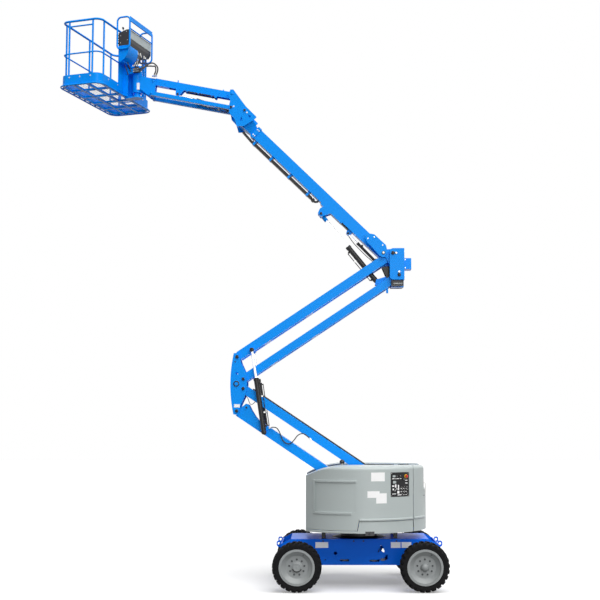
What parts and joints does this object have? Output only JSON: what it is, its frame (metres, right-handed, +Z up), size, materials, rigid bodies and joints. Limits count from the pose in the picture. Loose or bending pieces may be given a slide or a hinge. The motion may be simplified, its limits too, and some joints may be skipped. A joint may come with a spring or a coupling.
{
  "type": "articulating boom lift",
  "caption": "Self-propelled articulating boom lift with a folding riser, a telescopic boom, a jib and a turning platform on a steered wheeled chassis.",
  "frame": {"origin": "on the ground under the slew axis, midway between the axles", "axes": "+Z up, +X towards the steering axle, the booms lean towards -X"},
  "size_m": [6.4308, 2.29, 9.6553],
  "materials": {
    "boom_paint": "gloss",
    "chassis_paint": "gloss",
    "cover_grey": "satin",
    "rim_grey": "satin",
    "tyre": "matte",
    "black_steel": "satin",
    "rod_chrome": "polished",
    "cast_weight": "painted",
    "engine_iron": "matte",
    "tank_black": "matte",
    "stop_red": "satin",
    "console_black": "matte"
  },
  "bodies": {
    "chassis": {"chassis_frame": "chassis_paint", "slew_ring": "black_steel", "drive_axle": "chassis_paint", "steer_axle": "chassis_paint"},
    "left_steering": {"left_knuckle": "chassis_paint"},
    "right_steering": {"right_knuckle": "chassis_paint"},
    "steering_rod": {"steering_rod": "rod_chrome"},
    "drive_left_wheel": {"drive_left_tyre": "tyre", "drive_left_rim": "rim_grey"},
    "drive_right_wheel": {"drive_right_tyre": "tyre", "drive_right_rim": "rim_grey"},
    "steer_left_wheel": {"steer_left_tyre": "tyre", "steer_left_rim": "rim_grey"},
    "steer_right_wheel": {"steer_right_tyre": "tyre", "steer_right_rim": "rim_grey"},
    "turntable": {"slew_collar": "black_steel", "turntable_deck": "boom_paint", "lower_skirt": "cover_grey", "control_side_latch": "console_black", "engine_side_latch": "console_black", "tail_cover": "cover_grey", "counterweight": "cast_weight", "engine_block": "engine_iron", "tanks": "tank_black"},
    "control_side_cover": {"control_side_cover": "cover_grey", "ground_controls": "console_black", "emergency_stop": "stop_red"},
    "engine_side_cover": {"engine_side_cover": "cover_grey"},
    "lower_arm": {"lower_riser_arm": "boom_paint"},
    "lower_link": {"lower_riser_link": "boom_paint"},
    "mid_pivot": {"mid_pivot": "boom_paint"},
    "upper_arm": {"upper_riser_arm": "boom_paint"},
    "upper_link": {"upper_riser_link": "boom_paint"},
    "upper_pivot": {"upper_pivot": "boom_paint"},
    "riser_barrels": {"riser_barrels": "black_steel"},
    "riser_rods": {"riser_rods": "rod_chrome"},
    "primary_boom": {"primary_boom": "boom_paint"},
    "lift_barrel": {"lift_barrel": "black_steel"},
    "lift_rod": {"lift_rod": "rod_chrome"},
    "level_barrel": {"level_barrel": "black_steel"},
    "level_rod": {"level_rod": "rod_chrome"},
    "extension": {"boom_extension": "boom_paint"},
    "jib_base": {"jib_base": "boom_paint"},
    "slave_barrel": {"slave_barrel": "black_steel"},
    "slave_rod": {"slave_rod": "rod_chrome"},
    "jib": {"jib_boom": "boom_paint"},
    "jib_link": {"jib_link": "boom_paint"},
    "jib_barrel": {"jib_barrel": "black_steel"},
    "jib_rod": {"jib_rod": "rod_chrome"},
    "platform_bracket": {"platform_bracket": "boom_paint"},
    "platform": {"platform_floor": "boom_paint", "toe_board": "boom_paint", "top_rail": "boom_paint", "mid_rail": "boom_paint", "rail_posts": "boom_paint", "platform_mount": "boom_paint", "console_guard": "boom_paint", "control_console": "console_black", "console_cover": "boom_paint"},
    "gate": {"platform_gate": "boom_paint"}
  },
  "joints": [
    {"name": "drive_left_spin", "type": "hinge", "parent": "chassis", "child": "drive_left_wheel", "pos_m": [-1.015, -0.995, 0.395], "axis": [0, 1, 0], "continuous": true},
    {"name": "drive_right_spin", "type": "hinge", "parent": "chassis", "child": "drive_right_wheel", "pos_m": [-1.015, 0.995, 0.395], "axis": [0, 1, 0], "continuous": true},
    {"name": "steer", "type": "hinge", "parent": "chassis", "child": "left_steering", "pos_m": [1.015, -0.73, 0.395], "axis": [0, 0, 1], "range_deg": [-32, 32]},
    {"name": "steer_right", "type": "hinge", "parent": "chassis", "child": "right_steering", "pos_m": [1.015, 0.73, 0.395], "axis": [0, 0, 1], "range_deg": [-32.5, 32.5]},
    {"name": "steering_rod_slide", "type": "slide", "parent": "chassis", "child": "steering_rod", "axis": [0, 1, 0], "range_m": [-0.0841, 0.0841]},
    {"name": "steer_left_spin", "type": "hinge", "parent": "left_steering", "child": "steer_left_wheel", "pos_m": [1.015, -0.995, 0.395], "axis": [0, 1, 0], "continuous": true},
    {"name": "steer_right_spin", "type": "hinge", "parent": "right_steering", "child": "steer_right_wheel", "pos_m": [1.015, 0.995, 0.395], "axis": [0, 1, 0], "continuous": true},
    {"name": "slew", "type": "hinge", "parent": "chassis", "child": "turntable", "pos_m": [0, 0, 0.822], "axis": [0, 0, 1], "range_deg": [-179.5, 179.5]},
    {"name": "control_cover_open", "type": "hinge", "parent": "turntable", "child": "control_side_cover", "pos_m": [0, -0.35, 1.94], "axis": [-1, 0, 0], "range_deg": [0, 65]},
    {"name": "engine_cover_open", "type": "hinge", "parent": "turntable", "child": "engine_side_cover", "pos_m": [0, 0.35, 1.94], "axis": [1, 0, 0], "range_deg": [0, 65]},
    {"name": "riser_lift", "type": "hinge", "parent": "turntable", "child": "lower_arm", "pos_m": [0.583, 0, 1.11], "axis": [0, 1, 0], "range_deg": [-31.8, 26]},
    {"name": "lower_link_turn", "type": "hinge", "parent": "turntable", "child": "lower_link", "pos_m": [0.689, 0, 1.484], "axis": [0, 1, 0], "range_deg": [-32.3, 26.5]},
    {"name": "mid_pivot_turn", "type": "hinge", "parent": "lower_arm", "child": "mid_pivot", "pos_m": [-2.05371, 0, 2.87513], "axis": [0, 1, 0], "range_deg": [-26.5, 32.3]},
    {"name": "upper_arm_turn", "type": "hinge", "parent": "mid_pivot", "child": "upper_arm", "pos_m": [-2.05371, 0, 3.78513], "axis": [0, 1, 0], "range_deg": [-26.5, 32.3]},
    {"name": "upper_link_turn", "type": "hinge", "parent": "mid_pivot", "child": "upper_link", "pos_m": [-1.94771, 0, 3.41113], "axis": [0, 1, 0], "range_deg": [-26.5, 32.3]},
    {"name": "upper_pivot_turn", "type": "hinge", "parent": "upper_arm", "child": "upper_pivot", "pos_m": [0.583, 0, 5.55025], "axis": [0, 1, 0], "range_deg": [-32.3, 26.5]},
    {"name": "riser_barrel_turn", "type": "hinge", "parent": "lower_arm", "child": "riser_barrels", "pos_m": [-1.58983, 0, 2.52006], "axis": [0, 1, 0], "range_deg": [-20.09, 24.46]},
    {"name": "riser_rod_slide", "type": "slide", "parent": "riser_barrels", "child": "riser_rods", "axis": [-0.1503, 0, 0.9886], "range_m": [-0.37308, 0.3054]},
    {"name": "boom_lift", "type": "hinge", "parent": "upper_pivot", "child": "primary_boom", "pos_m": [0.425, 0, 5.55825], "axis": [0, 1, 0], "range_deg": [-41, 29]},
    {"name": "lift_barrel_turn", "type": "hinge", "parent": "upper_pivot", "child": "lift_barrel", "pos_m": [0.334, 0, 5.06625], "axis": [0, 1, 0], "range_deg": [-33.59, 23.9]},
    {"name": "lift_rod_slide", "type": "slide", "parent": "lift_barrel", "child": "lift_rod", "axis": [-0.6315, 0, 0.7754], "range_m": [-0.30746, 0.21805]},
    {"name": "level_barrel_turn", "type": "hinge", "parent": "upper_pivot", "child": "level_barrel", "pos_m": [0.326, 0, 5.40825], "axis": [0, 1, 0], "range_deg": [-40.35, 28.69]},
    {"name": "level_rod_slide", "type": "slide", "parent": "level_barrel", "child": "level_rod", "axis": [-0.697, 0, 0.7171], "range_m": [-0.12528, 0.08919]},
    {"name": "boom_extend", "type": "slide", "parent": "primary_boom", "child": "extension", "axis": [-0.7193, 0, 0.6947], "range_m": [0, 1.75]},
    {"name": "jib_base_level", "type": "hinge", "parent": "extension", "child": "jib_base", "pos_m": [-1.95486, 0, 8.03439], "axis": [0, 1, 0], "range_deg": [-29.5, 41.5]},
    {"name": "slave_barrel_turn", "type": "hinge", "parent": "extension", "child": "slave_barrel", "pos_m": [-1.48472, 0, 7.3955], "axis": [0, 1, 0], "range_deg": [-1.73, 1.37]},
    {"name": "slave_rod_slide", "type": "slide", "parent": "slave_barrel", "child": "slave_rod", "axis": [-0.7629, 0, 0.6465], "range_m": [-0.08028, 0.11267]},
    {"name": "jib_lift", "type": "hinge", "parent": "jib_base", "child": "jib", "pos_m": [-2.16986, 0, 8.3344], "axis": [0, -1, 0], "range_deg": [-58, 77]},
    {"name": "jib_link_turn", "type": "hinge", "parent": "jib_base", "child": "jib_link", "pos_m": [-2.18686, 0, 8.08939], "axis": [0, -1, 0], "range_deg": [-58.5, 77.5]},
    {"name": "jib_barrel_turn", "type": "hinge", "parent": "jib_base", "child": "jib_barrel", "pos_m": [-2.18686, 0, 8.08939], "axis": [0, 1, 0], "range_deg": [-76.61, 57.83]},
    {"name": "jib_rod_slide", "type": "slide", "parent": "jib_barrel", "child": "jib_rod", "axis": [-0.959, 0, 0.2832], "range_m": [-0.26704, 0.20164]},
    {"name": "platform_level", "type": "hinge", "parent": "jib", "child": "platform_bracket", "pos_m": [-3.55133, 0, 8.59044], "axis": [0, -1, 0], "range_deg": [-77.5, 58.5]},
    {"name": "platform_rotate", "type": "hinge", "parent": "platform_bracket", "child": "platform", "pos_m": [-3.83983, 0, 8.33044], "axis": [0, 0, 1], "range_deg": [-62, 98]},
    {"name": "gate_swing", "type": "hinge", "parent": "platform", "child": "gate", "pos_m": [-4.37237, 1.11167, 8.89044], "axis": [0, 0, -1], "range_deg": [0, 85]}
  ],
  "couplings": [
    {"joint": "steer_right", "follows": "steer", "ratio": 1},
    {"joint": "steering_rod_slide", "follows": "steer", "m_per_rad": -0.147},
    {"joint": "lower_link_turn", "follows": "riser_lift", "ratio": 1},
    {"joint": "mid_pivot_turn", "follows": "riser_lift", "ratio": -1},
    {"joint": "upper_arm_turn", "follows": "riser_lift", "ratio": -1},
    {"joint": "upper_link_turn", "follows": "riser_lift", "ratio": -1},
    {"joint": "upper_pivot_turn", "follows": "riser_lift", "ratio": 1},
    {"joint": "riser_barrel_turn", "follows": "riser_lift", "ratio": -0.75359},
    {"joint": "riser_rod_slide", "follows": "riser_lift", "m_per_rad": 0.6686},
    {"joint": "lift_barrel_turn", "follows": "boom_lift", "ratio": 0.807},
    {"joint": "lift_rod_slide", "follows": "boom_lift", "m_per_rad": 0.42686},
    {"joint": "level_barrel_turn", "follows": "boom_lift", "ratio": 0.97198},
    {"joint": "level_rod_slide", "follows": "boom_lift", "m_per_rad": 0.17227},
    {"joint": "jib_base_level", "follows": "boom_lift", "ratio": -1},
    {"joint": "slave_barrel_turn", "follows": "boom_lift", "ratio": 0.03},
    {"joint": "slave_rod_slide", "follows": "boom_lift", "m_per_rad": -0.15466},
    {"joint": "jib_link_turn", "follows": "jib_lift", "ratio": 1},
    {"joint": "jib_barrel_turn", "follows": "jib_lift", "ratio": -0.9885},
    {"joint": "jib_rod_slide", "follows": "jib_lift", "m_per_rad": -0.19722},
    {"joint": "platform_level", "follows": "jib_lift", "ratio": -1}
  ]
}
